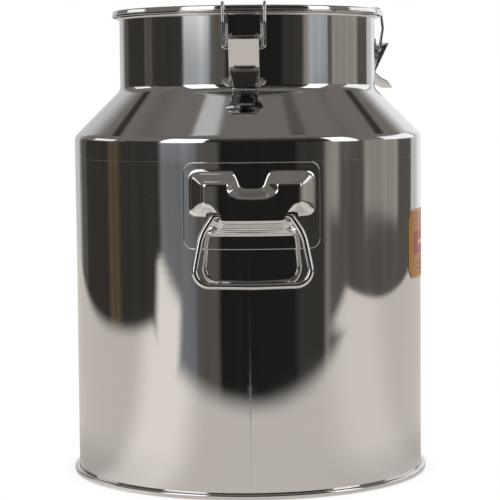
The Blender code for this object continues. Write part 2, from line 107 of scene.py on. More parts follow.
# Handles
PLATE_HALF_W = 63.5 * MM
PLATE_LOW_Z, PLATE_TOP_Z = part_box("handle_plate_front")[0].z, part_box("handle_plate_front")[1].z
PLATE_CORNER = 9.0 * MM
PLATE_SHEET = 1.2 * MM
EDGE_WIRE_R = 0.6 * MM
BOSS_RISE = 12.5 * MM
HOLE_X = 36.8 * MM
HOLE_HALF_W = 6.4 * MM
HOLE_LOW_Z, HOLE_TOP_Z = 261.8 * MM, 271.3 * MM
HANDLE_WIRE_R = 3.0 * MM
HANDLE_HANG_TILT = math.radians(6.0)

# Latches, as distances from the can's axis and heights
LATCH_HALF_W = 14.5 * MM
LATCH_SHEET = 1.2 * MM
BRACKET_HALF_W = 12.4 * MM
BRACKET_LOW_Z, BRACKET_TOP_Z = 412 * MM, 440 * MM
FULCRUM = (133.0 * MM, 434.7 * MM)
BAIL_EYE = (137.0 * MM, 424.0 * MM)
LEVER_TOP = (149.2 * MM, 432.0 * MM)
LEVER_FOLD = (133.6 * MM, 402.1 * MM)
LEVER_TIP = (153.0 * MM, 386.6 * MM)
TAB_HALF_W = 21.0 * MM
TAB_HALF_L = 9.2 * MM
EYE_R = 2.6 * MM
PIN_R = 1.2 * MM
PIN_HEAD_R = 2.3 * MM
PIN_HEAD_L = 1.95 * MM
PIN_HALF_L = 16.7 * MM
BAIL_WIRE_R = 1.5 * MM
BAIL_HALF_W = 19.9 * MM
HOOK = (121.8 * MM, 463.4 * MM)

# Label
LABEL_FROM, LABEL_TO = math.radians(62.5), math.radians(97)
LABEL_LOW_Z, LABEL_TOP_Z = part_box("label")[0].z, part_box("label")[1].z
LABEL_CORNER = 14.0 * MM
LABEL_THICK = 0.3 * MM


# ---------------------------------------------------------------- outlines


def rounded(points, radii, closed=False, steps=8):
    """The polyline through points, with an arc of the given radius at each corner."""
    corners = [Vector(p) for p in points]
    count = len(corners)
    result = []
    for i, corner in enumerate(corners):
        radius = radii[i]
        at_end = not closed and i in (0, count - 1)
        if at_end or radius == 0:
            result.append(corner)
            continue
        before = (corners[i - 1] - corner).normalized()
        after = (corners[(i + 1) % count] - corner).normalized()
        half = before.angle(after) / 2
        setback = radius / math.tan(half)
        centre = corner + (before + after).normalized() * (radius / math.sin(half))
        start = corner + before * setback - centre
        end = corner + after * setback - centre
        sweep = start.angle(end)
        for k in range(steps + 1):
            part = k / steps
            weights = (math.sin((1 - part) * sweep), math.sin(part * sweep))
            result.append(centre + (start * weights[0] + end * weights[1]) / math.sin(sweep))
    return result


def arc(centre, radius, start, end, steps):
    """Points round a circle in a plane, from one angle to another, in degrees."""
    angles = [math.radians(start + (end - start) * k / steps) for k in range(steps + 1)]
    return [(centre[0] + radius * math.cos(a), centre[1] + radius * math.sin(a)) for a in angles]


def mirrored(half):
    """A closed outline from its right half, which runs from x = 0 round to x = 0."""
    return list(half) + [(-x, z) for x, z in reversed(half) if x > 0]


def band(path, thickness):
    """The outline of a strip of constant thickness that follows a flat path."""
    path = [Vector(p) for p in path]
    sides = ([], [])
    for i, point in enumerate(path):
        before = (point - path[max(i - 1, 0)]).normalized()
        after = (path[min(i + 1, len(path) - 1)] - point).normalized()
        along = (before + after).normalized()
        across = Vector((-along.y, along.x))
        stretch = max(along.dot(after), along.dot(before))
        for side, sign in zip(sides, (1, -1)):
            side.append(point + across * (sign * thickness / 2 / stretch))
    return sides[0] + sides[1][::-1]


def densified(outline, longest):
    """An outline with points close to both ends of each long straight stretch and along it, so
    that smooth shading stays in the bends."""
    near = 0.5 * MM
    result = []
    for i, point in enumerate(outline):
        start, end = Vector(point), Vector(outline[(i + 1) % len(outline)])
        result.append(tuple(start))
        length = (end - start).length
        if length > 4 * near:
            count = max(1, math.ceil((length - 2 * near) / longest))
            inner = [near + (length - 2 * near) * k / count for k in range(count + 1)]
            result += [tuple(start.lerp(end, d / length)) for d in inner]
    return result


# ---------------------------------------------------------------- meshes


def new_object(name, data):
    item = bpy.data.objects.new(name, data)
    bpy.context.scene.collection.objects.link(item)
    return item


def baked(item, matrix=None):
    """The evaluated mesh of an object, moved by matrix. The object is removed."""
    bpy.context.view_layer.update()
    mesh = bpy.data.meshes.new_from_object(item.evaluated_get(bpy.context.evaluated_depsgraph_get()))
    if matrix is not None:
        mesh.transform(matrix)
    bpy.data.objects.remove(item)
    return mesh


def welded(mesh):
    """Joins vertices that coincide and turns all normals outwards."""
    work = bmesh.new()
    work.from_mesh(mesh)
    bmesh.ops.remove_doubles(work, verts=work.verts, dist=0.004 * MM)
    bmesh.ops.recalc_face_normals(work, faces=work.faces)
    work.to_mesh(mesh)
    work.free()
    return mesh


def turned(outline, longest=14 * MM, extra=(), lift=None):
    """A closed outline of (radius, z) turned about Z. lift(azimuth, z) moves a point outwards."""
    profile = densified(outline, longest)
    azimuths = sorted([2 * math.pi * k / TURNS for k in range(TURNS)] + list(extra))
    verts = []
    for a in azimuths:
        for r, z in profile:
            out = r + (lift(a, z) if lift and r > 0 else 0)
            verts.append((out * math.sin(a), -out * math.cos(a), z))
    n, m = len(azimuths), len(profile)
    faces = []
    for i in range(n):
        for j in range(m):
            k, l = (i + 1) % n, (j + 1) % m
            faces.append((i * m + j, k * m + j, k * m + l, i * m + l))
    mesh = bpy.data.meshes.new("turned")
    mesh.from_pydata(verts, [], faces)
    return welded(mesh)


def wire(path, radius, closed=False):
    """A round wire along a path."""
    curve = bpy.data.curves.new("wire", "CURVE")
    curve.dimensions = "3D"
    curve.bevel_depth = radius
    curve.bevel_resolution = 6
    curve.use_fill_caps = True
    spline = curve.splines.new("POLY")
    spline.points.add(len(path) - 1)
    for point, place in zip(spline.points, path):
        point.co = (*place, 1)
    spline.use_cyclic_u = closed
    return welded(baked(new_object("wire", curve)))


def stamped(outline, thickness, matrix, edge):
    """A flat sheet with rounded edges, lying in XY about z = 0, then moved by matrix."""
    curve = bpy.data.curves.new("outline", "CURVE")
    curve.dimensions = "2D"
    curve.fill_mode = "BOTH"
    curve.extrude = thickness / 2 - edge
    curve.bevel_depth = edge
    curve.bevel_resolution = 2
    curve.offset = -edge
    spline = curve.splines.new("POLY")
    spline.points.add(len(outline) - 1)
    for point, place in zip(spline.points, outline):
        point.co = (place[0], place[1], 0, 1)
    spline.use_cyclic_u = True
    return welded(baked(new_object("outline", curve), matrix))


def joined(meshes):
    """Several meshes as one."""
    work = bmesh.new()
    for mesh in meshes:
        work.from_mesh(mesh)
    result = bpy.data.meshes.new("joined")
    work.to_mesh(result)
    work.free()
    return result


def moved(mesh, matrix):
    """A copy of a mesh, moved by matrix."""
    copy = mesh.copy()
    copy.transform(matrix)
    return copy


def piece(name, mesh, body, slot, material, *nodes):
    """A finished piece: smooth apart from its sharp edges, on its body, for its CAD nodes."""
    item = new_object(name, mesh)
    mesh.materials.clear()
    mesh.materials.append(material)
    mesh.shade_smooth()
    mesh.set_sharp_from_angle(angle=SHARP)
    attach(item, body)
    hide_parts(*nodes)
    return item


# ---------------------------------------------------------------- sheets laid round the body


def inside(x, z, loop):
    """Whether a point is inside a closed loop."""
    odd = False
    for i, (x1, z1) in enumerate(loop):
        x0, z0 = loop[i - 1]
        if (z0 > z) != (z1 > z) and x < (x1 - x0) * (z - z0) / (z1 - z0) + x0:
            odd = not odd
    return odd


def cut_along(work, loop, keep_inside, cell):
    """Cuts a flat XZ grid along a convex loop, then removes the faces on the unwanted side."""
    for i, end in enumerate(loop):
        start = loop[i - 1]
        along = Vector((end[0] - start[0], 0, end[1] - start[1]))
        if along.length < 1e-7:
            continue
        middle = Vector(((start[0] + end[0]) / 2, 0, (start[1] + end[1]) / 2))
        reach = along.length / 2 + 1.6 * cell
        faces = [f for f in work.faces if (f.calc_center_median() - middle).length < reach]
        geom = set(faces)
        for face in faces:
            geom.update(face.edges)
            geom.update(face.verts)
        normal = Vector((along.z, 0, -along.x)).normalized()
        bmesh.ops.bisect_plane(work, geom=list(geom), plane_co=middle, plane_no=normal)
    unwanted = []
    for face in work.faces:
        centre = face.calc_center_median()
        if inside(centre.x, centre.z, loop) != keep_inside:
            unwanted.append(face)
    bmesh.ops.delete(work, geom=unwanted, context="FACES")


def laid_sheet(outline, holes, height, radius, thickness, cell):
    """A sheet laid round the front of a cylinder. height(x, z) gives its outer face above the
    radius for arrays of points, and the thickness is taken inwards."""
    xs, zs = [p[0] for p in outline], [p[1] for p in outline]
    across = math.ceil((max(xs) - min(xs)) / cell)
    up = math.ceil((max(zs) - min(zs)) / cell)
    work = bmesh.new()
    grid = []
    for i in range(across + 1):
        x = min(xs) + (max(xs) - min(xs)) * i / across
        heights = [min(zs) + (max(zs) - min(zs)) * j / up for j in range(up + 1)]
        grid.append([work.verts.new((x, 0, z)) for z in heights])
    for i in range(across):
        for j in range(up):
            work.faces.new((grid[i][j], grid[i + 1][j], grid[i + 1][j + 1], grid[i][j + 1]))
    cut_along(work, outline, True, cell)
    for hole in holes:
        cut_along(work, hole, False, cell)
    bmesh.ops.remove_doubles(work, verts=work.verts, dist=0.02 * MM)
    loose = [v for v in work.verts if not v.link_faces]
    bmesh.ops.delete(work, geom=loose, context="VERTS")
    places = np.array([v.co for v in work.verts])
    out = height(places[:, 0], places[:, 2])
    for vert, rise in zip(work.verts, out):
        vert.co.y = -math.sqrt((radius + rise) ** 2 - vert.co.x**2)
    mesh = bpy.data.meshes.new("sheet")
    work.to_mesh(mesh)
    work.free()
    item = new_object("sheet", mesh)
    solid = item.modifiers.new("thickness", "SOLIDIFY")
    solid.thickness = thickness
    solid.offset = -1
    return welded(baked(item))


def flat_at(rise):
    """A height for laid_sheet that is the same everywhere."""
    return lambda x, z: np.full(x.shape, rise)


def distance_to(x, z, loop):
    """Distance from each point to a closed loop, for arrays of points."""
    nearest = np.full(x.shape, 1.0)
    for i, (x1, z1) in enumerate(loop):
        x0, z0 = loop[i - 1]
        dx, dz = x1 - x0, z1 - z0
        length = dx * dx + dz * dz
        if length == 0:
            continue
        t = np.clip(((x - x0) * dx + (z - z0) * dz) / length, 0, 1)
        nearest = np.minimum(nearest, np.hypot(x - x0 - t * dx, z - z0 - t * dz))
    return nearest


def inside_all(x, z, loop):
    """Whether each point is inside a closed loop, for arrays of points."""
    odd = np.zeros(x.shape, bool)
    for i, (x1, z1) in enumerate(loop):
        x0, z0 = loop[i - 1]
        if z0 == z1:
            continue
        crosses = ((z0 > z) != (z1 > z)) & (x < (x1 - x0) * (z - z0) / (z1 - z0) + x0)
        odd ^= crosses
    return odd


def softened(field, width):
    """A square field blurred by a Gaussian of the given width, in cells."""
    reach = math.ceil(3 * width)
    kernel = np.exp(-0.5 * (np.arange(-reach, reach + 1) / width) ** 2)
    kernel /= kernel.sum()
    for axis in (0, 1):
        padded = np.pad(field, [(reach, reach) if a == axis else (0, 0) for a in (0, 1)], "edge")
        field = np.apply_along_axis(lambda row: np.convolve(row, kernel, "valid"), axis, padded)
    return field


# ---------------------------------------------------------------- materials


class Nodes:
    """Short ways to add nodes to one node tree."""

    def __init__(self, tree):
        self.tree = tree

    def add(self, kind, **settings):
        node = self.tree.nodes.new(kind)
        for key, value in settings.items():
            setattr(node, key, value)
        return node

    def feed(self, socket, value):
        if isinstance(value, bpy.types.NodeSocket):
            self.tree.links.new(value, socket)
        else:
            socket.default_value = value

    def math(self, operation, *values):
        node = self.add("ShaderNodeMath", operation=operation)
        for socket, value in zip(node.inputs, values):
            self.feed(socket, value)
        return node.outputs[0]

    def smooth(self, value, low, high):
        """0 below low and 1 above high, with a smooth step between them."""
        node = self.add("ShaderNodeMapRange", interpolation_type="SMOOTHSTEP")
        for key, given in (("Value", value), ("From Min", low), ("From Max", high)):
            self.feed(node.inputs[key], given)
        return node.outputs["Result"]

    def between(self, value, low, high, soft):
        """1 between low and high, fading to 0 over soft at each end."""
        rise = self.smooth(value, low - soft / 2, low + soft / 2)
        fall = self.smooth(value, high - soft / 2, high + soft / 2)
        return self.math("SUBTRACT", rise, fall)

    def mix(self, factor, first, second, blend="MIX"):
        node = self.add("ShaderNodeMix", data_type="RGBA", blend_type=blend)
        self.feed(node.inputs["Factor"], factor)
        self.feed(node.inputs["A"], first)
        self.feed(node.inputs["B"], second)
        return node.outputs["Result"]

    def scaled(self, vector, scale):
        node = self.add("ShaderNodeVectorMath", operation="MULTIPLY")
        self.feed(node.inputs[0], vector)
        node.inputs[1].default_value = scale
        return node.outputs[0]

    def noise(self, vector, scale, detail=2.0):
        node = self.add("ShaderNodeTexNoise")
        self.feed(node.inputs["Vector"], vector)
        node.inputs["Scale"].default_value = scale
        node.inputs["Detail"].default_value = detail
        return node.outputs["Fac"]

    def ramp(self, value, stops, mode="LINEAR"):
        node = self.add("ShaderNodeValToRGB")
        node.color_ramp.interpolation = mode
        elements = node.color_ramp.elements
        for place, colour in stops[2:]:
            elements.new(place)
        for element, (place, colour) in zip(elements, stops):
            element.position = place
        for element, (place, colour) in zip(elements, stops):
            element.color = colour
        self.feed(node.inputs["Fac"], value)
        return node.outputs["Color"]


def srgb(red, green, blue):
    """Linear colour of 8-bit display values, with alpha."""
    linear = []
    for value in (red, green, blue):
        c = value / 255
        linear.append(c / 12.92 if c <= 0.04045 else ((c + 0.055) / 1.055) ** 2.4)
    return (*linear, 1.0)


def plain_material(name):
    material = bpy.data.materials.new(name)
    material.use_nodes = True
    nodes = Nodes(material.node_tree)
    return material, nodes, material.node_tree.nodes["Principled BSDF"]


def steel(name, tone, roughness, grain, lines, smudge=0.035, seam=False):
    """Polished stainless steel. grain is how far the polishing lines stretch along X, Y and Z,
    lines is their depth in metres."""
    material, nodes, shader = plain_material(name)
    place = nodes.add("ShaderNodeTexCoord").outputs["Object"]
    patches = nodes.noise(place, 9.0, 3.0)
    streaks = nodes.noise(nodes.scaled(place, grain), 1.0, 3.0)
    worn = nodes.noise(place, 42.0, 4.0)
    tint = nodes.mix(patches, (tone * 0.97, tone * 0.96, tone * 0.955, 1), (tone, tone, tone, 1))
    tint = nodes.mix(nodes.smooth(streaks, 0.45, 0.75), tint, (tone * 0.955, tone * 0.955, tone * 0.96, 1))
    dots = nodes.add("ShaderNodeTexVoronoi")
    nodes.feed(dots.inputs["Vector"], place)
    dots.inputs["Scale"].default_value = 70.0
    chance = nodes.add("ShaderNodeSeparateColor")
    nodes.feed(chance.inputs[0], dots.outputs["Color"])
    speck = nodes.math(
        "MULTIPLY",
        nodes.smooth(dots.outputs["Distance"], 0.03, 0.015),
        nodes.smooth(chance.outputs[0], 0.72, 0.74),
    )
    rough = nodes.math("MULTIPLY_ADD", nodes.smooth(patches, 0.42, 0.72), smudge, roughness)
    rough = nodes.math("MULTIPLY_ADD", speck, 0.45, rough)
    rough = nodes.math("MULTIPLY_ADD", nodes.smooth(worn, 0.55, 0.8), smudge * 0.6, rough)
    relief = streaks
    if seam:
        split = nodes.add("ShaderNodeSeparateXYZ")
        nodes.feed(split.inputs[0], place)
        across = nodes.math("SUBTRACT", split.outputs["X"], BODY_R * math.sin(SEAM_AZIMUTH))
        front = nodes.math("LESS_THAN", split.outputs["Y"], 0.0)
        line = nodes.between(across, -0.7 * MM, 0.7 * MM, 0.8 * MM)
        line = nodes.math("MULTIPLY", line, front)
        tick_run = nodes.between(across, -3.0 * MM, 2.6 * MM, 2.0 * MM)
        beat = nodes.noise(nodes.scaled(place, (40.0, 0.0, 620.0)), 1.0, 1.0)
        ticks = nodes.math("MULTIPLY", nodes.smooth(beat, 0.5, 0.62), tick_run)
        ticks = nodes.math("MULTIPLY", ticks, front)
        rough = nodes.math("MULTIPLY_ADD", line, 0.1, rough)
        rough = nodes.math("MULTIPLY_ADD", ticks, 0.06, rough)
        tint = nodes.mix(nodes.math("MULTIPLY", line, 0.16), tint, (tone * 0.6,) * 3 + (1,))
        relief = nodes.math("MULTIPLY_ADD", ticks, 1.2, streaks)
    bump = nodes.add("ShaderNodeBump")
    bump.inputs["Distance"].default_value = lines
    nodes.feed(bump.inputs["Height"], relief)
    nodes.feed(shader.inputs["Base Color"], tint)
    nodes.feed(shader.inputs["Roughness"], rough)
    nodes.feed(shader.inputs["Normal"], bump.outputs["Normal"])
    shader.inputs["Metallic"].default_value = 1.0
    return material


def silicone():
    material, nodes, shader = plain_material("silicone")
    place = nodes.add("ShaderNodeTexCoord").outputs["Object"]
    dust = nodes.noise(place, 900.0, 2.0)
    colour = nodes.mix(dust, (0.62, 0.61, 0.57, 1), (0.72, 0.71, 0.67, 1))
    nodes.feed(shader.inputs["Base Color"], colour)
    bump = nodes.add("ShaderNodeBump")
    bump.inputs["Distance"].default_value = 0.03 * MM
    nodes.feed(bump.inputs["Height"], dust)
    nodes.feed(shader.inputs["Normal"], bump.outputs["Normal"])
    shader.inputs["Roughness"].default_value = 0.55
    return material


def label_film():
    """Gold film with a darker rim, a red block and plain bars."""
    material, nodes, shader = plain_material("label_film")
    place = nodes.add("ShaderNodeTexCoord").outputs["Object"]
    split = nodes.add("ShaderNodeSeparateXYZ")
    nodes.feed(split.inputs[0], place)
    x, y = split.outputs[:2]
    azimuth = nodes.math("ARCTAN2", x, nodes.math("MULTIPLY", y, -1.0))
    middle_z = (LABEL_LOW_Z + LABEL_TOP_Z) / 2
    from_middle = nodes.math("SUBTRACT", azimuth, (LABEL_FROM + LABEL_TO) / 2)
    across = nodes.math("MULTIPLY", from_middle, BODY_R)
    up = nodes.math("SUBTRACT", split.outputs["Z"], middle_z)
    grain = nodes.noise(place, 260.0, 2.0)
    gold = nodes.mix(grain, srgb(196, 122, 14), srgb(212, 138, 26))
    half_w = BODY_R * (LABEL_TO - LABEL_FROM) / 2
    half_h = (LABEL_TOP_Z - LABEL_LOW_Z) / 2

    def block(low_x, high_x, low_z, high_z):
        return nodes.math(
            "MULTIPLY",
            nodes.between(across, low_x * MM, high_x * MM, 0.5 * MM),
            nodes.between(up, low_z * MM, high_z * MM, 0.5 * MM),
        )

    field = nodes.math(
        "MULTIPLY",
        nodes.between(across, -half_w + 2.2 * MM, half_w - 2.2 * MM, 0.8 * MM),
        nodes.between(up, -half_h + 2.2 * MM, half_h - 2.2 * MM, 0.8 * MM),
    )
    colour = nodes.mix(field, srgb(232, 170, 70), gold)
    colour = nodes.mix(block(-38, 38, -10, 12), colour, srgb(186, 34, 12))
    for low_z in (-21, -26):
        colour = nodes.mix(block(-26, 26, low_z, low_z + 2), colour, srgb(120, 66, 24))
    colour = nodes.mix(block(-20, 20, -1, 3), colour, srgb(242, 214, 160))
    nodes.feed(shader.inputs["Base Color"], colour)
    shader.inputs["Roughness"].default_value = 0.32
    shader.inputs["Coat Weight"].default_value = 0.12
    shader.inputs["Specular IOR Level"].default_value = 0.25
    shader.inputs["Coat Roughness"].default_value = 0.08
    return material


MIRROR = steel("steel_shell", 0.71, 0.035, (1.5, 1.5, 1500.0), 0.0016 * MM, seam=True)
NECK_STEEL = steel("steel_shoulder", 0.71, 0.06, (1.5, 1.5, 1500.0), 0.0012 * MM)
PRESSED = steel("steel_pressed", 0.72, 0.05, (140.0, 140.0, 140.0), 0.006 * MM)
FITTING = steel("steel_fitting", 0.72, 0.07, (160.0, 160.0, 420.0), 0.004 * MM)
LID_STEEL = steel("steel_lid", 0.71, 0.06, (5.0, 5.0, 620.0), 0.002 * MM)
SILICONE = silicone()
LABEL_FILM = label_film()


# ---------------------------------------------------------------- shells


def waviness(azimuth, z):
    """The slight unevenness of a rolled sheet."""
    return 0.035 * MM * (
        math.sin(3 * azimuth + 14 * z + 0.6)
        + 0.8 * math.sin(7 * azimuth - 23 * z + 2.1)
        + 0.5 * math.sin(13 * azimuth + 41 * z + 4.4)
    )


def body_lift(azimuth, z):
    """Sheet unevenness, and the ridge that the polished seam leaves."""
    turn = (azimuth - SEAM_AZIMUTH + math.pi) % (2 * math.pi) - math.pi
    ridge = 0.05 * MM * math.exp(-((turn * BODY_R / (0.7 * MM)) ** 2))
    return waviness(azimuth, z) + ridge


def body_shell():
    inner = BODY_R - BODY_WALL
    flush = BODY_R + GAP + SKIRT_WALL - 0.05 * MM
    flare = []
    for k in range(17):
        part = k / 16
        z = FLARE_LOW_Z + (SKIRT_LOW_Z - 0.05 * MM - FLARE_LOW_Z) * part
        flare.append((BODY_R + (flush - BODY_R) * part * part * (3 - 2 * part), z))
    outline = [(inner, BODY_TOP_Z), (inner, BODY_FOOT_Z), (BODY_R, BODY_FOOT_Z), *flare]
    outline += [(BODY_R, SKIRT_LOW_Z + 0.3 * MM), (BODY_R, BODY_TOP_Z)]
    near_seam = [SEAM_AZIMUTH + math.radians(0.09 * k) for k in range(-6, 7)]
    return turned(outline, 10 * MM, [a % (2 * math.pi) for a in near_seam], body_lift)


def shoulder_shell():
    skirt_in = BODY_R + GAP
    skirt_out = skirt_in + SKIRT_WALL
    shoulder_top_z = SHOULDER_LOW_Z + skirt_out - NECK_R
    neck_in = NECK_R - NECK_WALL
    lip = (neck_in + LIP_R, LIP_TOP_Z - LIP_R)
    slant_drop = (NECK_WALL + SKIRT_WALL) / 2 * (math.sqrt(2) - 1)
    outer = rounded(
        [
            (NECK_R, lip[1] - LIP_R),
            (NECK_R, shoulder_top_z),
            (skirt_out, SHOULDER_LOW_Z),
            (skirt_out, SKIRT_LOW_Z),
            (skirt_in, SKIRT_LOW_Z),
        ],
        (0, SHOULDER_BEND_R, SHOULDER_BEND_R, 0.08 * MM, 0),
        steps=14,
    )
    inner = rounded(
        [
            (skirt_in, SKIRT_LOW_Z + 0.2 * MM),
            (skirt_in, SHOULDER_LOW_Z - slant_drop),
            (neck_in, shoulder_top_z - slant_drop),
            (neck_in, lip[1]),
        ],
        (0, SHOULDER_BEND_R - SKIRT_WALL, SHOULDER_BEND_R + NECK_WALL, 0),
        steps=10,
    )
    bead = arc(lip, LIP_R, 150, -110, 20)
    outline = bead + [tuple(p) for p in outer[:-1] + inner]
    return turned(outline, 10 * MM, lift=lambda a, z: 0.6 * waviness(a + 1.3, z))


def bottom_shell():
    outer = BODY_R - BODY_WALL - GAP
    inner = outer - BOTTOM_WALL
    bend = 5.0 * MM
    top = rounded([(0, BOTTOM_Z + BOTTOM_RISE), (outer, BOTTOM_Z), (outer, BODY_FOOT_Z)], (0, bend, 0))
    under = rounded(
        [
            (inner, BODY_FOOT_Z),
            (inner, BOTTOM_Z - BOTTOM_WALL),
            (0, BOTTOM_Z + BOTTOM_RISE - BOTTOM_WALL),
        ],
        (0, bend - BOTTOM_WALL, 0),
    )
    return turned([tuple(p) for p in top + under])


def foot_ring():
    seat = BODY_R + GAP
    outline = rounded(
        [
            (seat, RING_TOP_Z),
            (RING_OUT_R, RING_TOP_Z),
            (RING_OUT_R, 0),
            (RING_IN_R, 0),
            (RING_IN_R, RING_FLANGE),
            (seat, RING_FLANGE),
        ],
        (0.2 * MM, 2.2 * MM, 1.7 * MM, 0.3 * MM, 0.3 * MM, 0),
        closed=True,
    )
    return turned([tuple(p) for p in outline])


# ---------------------------------------------------------------- lid


def lid_pan():
    """The recessed pan, with a folded hem under the rim's edge."""
    well_out = LID_WELL_R + LID_WALL
    hem = 0.5 * MM
    upper = rounded(
        [
            (0, LID_FLOOR_Z),
            (LID_WELL_R, LID_FLOOR_Z),
            (LID_WELL_R, LID_TOP_Z),
            (LID_OUT_R - hem - 0.8 * MM, LID_TOP_Z),
            (LID_OUT_R - hem, LID_EDGE_Z + 2.6 * MM),
            (LID_OUT_R, LID_EDGE_Z + 2.1 * MM),
            (LID_OUT_R, LID_EDGE_Z),
            (LID_OUT_R - LID_WALL, LID_EDGE_Z),
        ],
        (0, LID_WELL_BEND, LID_WELL_BEND, 1.7 * MM, 0.4 * MM, 0.5 * MM, 0.6 * MM, 0),
    )
    lower = rounded(
        [
            (LID_OUT_R - LID_WALL, LID_EDGE_Z + 0.2 * MM),
            (LID_OUT_R - LID_WALL, LID_TOP_Z - LID_WALL),
            (well_out, LID_TOP_Z - LID_WALL),
            (well_out, LID_FLOOR_Z - LID_WALL),
            (0, LID_FLOOR_Z - LID_WALL),
        ],
        (0, LID_CREST_R - LID_WALL, LID_WELL_BEND - LID_WALL, LID_WELL_BEND + LID_WALL, 0),
    )
    return turned([tuple(p) for p in upper[:-1] + lower], lift=lambda a, z: 0.5 * waviness(a, z))


def lid_seal():
    inner = LID_WELL_R + LID_WALL + GAP
    top = LID_TOP_Z - LID_WALL - GAP
    low = LIP_TOP_Z + GAP
    bevel = 1.6 * MM
    outline = rounded(
        [
            (inner + bevel, top),
            (SEAL_OUT_R - bevel, top),
            (SEAL_OUT_R, top - bevel),
            (SEAL_OUT_R, low),
            (inner, low),
            (inner, top - bevel),
        ],
        (0.4 * MM,) * 6,
        closed=True,
        steps=3,
    )
    return turned([tuple(p) for p in outline])


def lid_handle():
    """The bent strap, with four spot welds in each foot."""
    foot_z = LID_FLOOR_Z + GAP + STRAP_THICK / 2
    top_z = STRAP_TOP_Z - STRAP_THICK / 2
    half = [(52.0 * MM, foot_z), (38.0 * MM, foot_z), (30.0 * MM, top_z)]
    path = half + [(-x, z) for x, z in reversed(half)]
    bend = 4.0 * MM
    outline = band(rounded(path, (0, bend, bend, bend, bend, 0)), STRAP_THICK)
    upright = Matrix.Rotation(math.pi / 2, 4, "X")
    parts = [stamped(outline, STRAP_WIDTH, upright, 0.35 * MM)]
    for side in (1, -1):
        for x, y in ((43.5, 5.5), (43.5, -5.5), (48.5, 5.5), (48.5, -5.5)):
            parts.append(dome(1.7 * MM, 0.3 * MM, (side * x * MM, y * MM, foot_z + STRAP_THICK / 2)))
    return joined(parts)


def dome(radius, rise, place):
    """A low round button, standing on a point."""
    mesh = bpy.data.meshes.new("dome")
    work = bmesh.new()
    bmesh.ops.create_uvsphere(work, u_segments=20, v_segments=12, radius=1)
    for vert in work.verts:
        vert.co = (vert.co.x * radius, vert.co.y * radius, vert.co.z * rise)
    bmesh.ops.translate(work, verts=work.verts, vec=place)
    work.to_mesh(mesh)
    work.free()
    return mesh


# ---------------------------------------------------------------- handles


def boss_outlines():
    """The raised form's outline at the plate and at its flat top, with rounded corners."""
    foot = (
        ((0, 291.5), 0),
        ((8.0, 291.5), 5),
        ((11.6, 295.4), 4),
        ((16.5, 308.5), 3),
        ((57.5, 308.5), 7),
        ((57.5, 268.5), 5),
        ((41.5, 267.8), 5),
        ((36.2, 260.0), 2),
        ((36.2, 257.0), 1),
        ((41.3, 254.5), 1.2),
        ((40.2, 249.5), 2),
        ((0, 249.5), 0),
    )
    crown = (
        ((0, 284.0), 0),
        ((14.0, 284.4), 6),
        ((24.0, 288.4), 5),
        ((23.6, 297.5), 1),
        ((46.0, 297.5), 1),
        ((46.0, 278.6), 1.5),
        ((39.5, 277.6), 6),
        ((32.5, 269.0), 4),
        ((30.6, 262.2), 1),
        ((0, 262.2), 0),
    )
    loops = []
    for form in (foot, crown):
        points = [(x * MM, z * MM) for (x, z), radius in form]
        radii = [radius * MM for point, radius in form]
        half = rounded(points, radii, steps=6)
        loops.append(mirrored([tuple(p) for p in half]))
    return loops


class BossRelief:
    """Height of the pressed form over the body, read from a softened grid."""

    cell = 0.5 * MM
    margin = 6 * MM

    def __init__(self):
        foot, crown = boss_outlines()
        self.low_x = -PLATE_HALF_W - self.margin
        self.low_z = PLATE_LOW_Z - self.margin
        xs = np.arange(self.low_x, PLATE_HALF_W + self.margin, self.cell)
        zs = np.arange(self.low_z, PLATE_TOP_Z + self.margin, self.cell)
        x, z = np.meshgrid(xs, zs, indexing="ij")
        to_foot = distance_to(x, z, foot)
        to_crown = distance_to(x, z, crown)
        rise = to_foot / (to_foot + to_crown + 1e-9)
        rise[~inside_all(x, z, foot)] = 0
        rise[inside_all(x, z, crown)] = 1
        in_lip = (np.abs(x) < 43 * MM) & (z < 262 * MM)
        groove = np.exp(-(((z - 256.6 * MM) / (0.9 * MM)) ** 2)) * in_lip * (rise > 0.02)
        field = rise * BOSS_RISE - softened(groove * 1.5 * MM, 0.8)
        self.field = softened(field, 2.3)

    def __call__(self, x, z):
        i = (x - self.low_x) / self.cell
        j = (z - self.low_z) / self.cell
        i0, j0 = i.astype(int), j.astype(int)
        fi, fj = i - i0, j - j0
        f = self.field
        low = f[i0, j0] * (1 - fi) + f[i0 + 1, j0] * fi
        high = f[i0, j0 + 1] * (1 - fi) + f[i0 + 1, j0 + 1] * fi
        return PLATE_SHEET + low * (1 - fj) + high * fj


def box_loop(low_x, high_x, low_z, high_z, corner):
    """A rounded rectangle as a closed loop of points."""
    corners = [(high_x, low_z), (high_x, high_z), (low_x, high_z), (low_x, low_z)]
    return [tuple(p) for p in rounded(corners, [corner] * 4, closed=True, steps=7)]


def handle_plate():
    outline = box_loop(-PLATE_HALF_W, PLATE_HALF_W, PLATE_LOW_Z, PLATE_TOP_Z, PLATE_CORNER)
    holes = [
        box_loop(x - HOLE_HALF_W, x + HOLE_HALF_W, HOLE_LOW_Z, HOLE_TOP_Z, 4.0 * MM)
        for x in (HOLE_X, -HOLE_X)
    ]
    sheet = laid_sheet(outline, holes, BossRelief(), BODY_R + GAP, PLATE_SHEET, 0.8 * MM)
    edge_r = BODY_R + GAP + PLATE_SHEET - EDGE_WIRE_R * 0.7
    edge = []
    for (x0, z0), (x1, z1) in zip(outline, outline[1:] + outline[:1]):
        steps = max(1, round(math.hypot(x1 - x0, z1 - z0) / (3 * MM)))
        for k in range(steps):
            x, z = x0 + (x1 - x0) * k / steps, z0 + (z1 - z0) * k / steps
            edge.append((x, -math.sqrt(edge_r**2 - x * x), z))
    return joined([sheet, wire(edge, EDGE_WIRE_R, closed=True)])


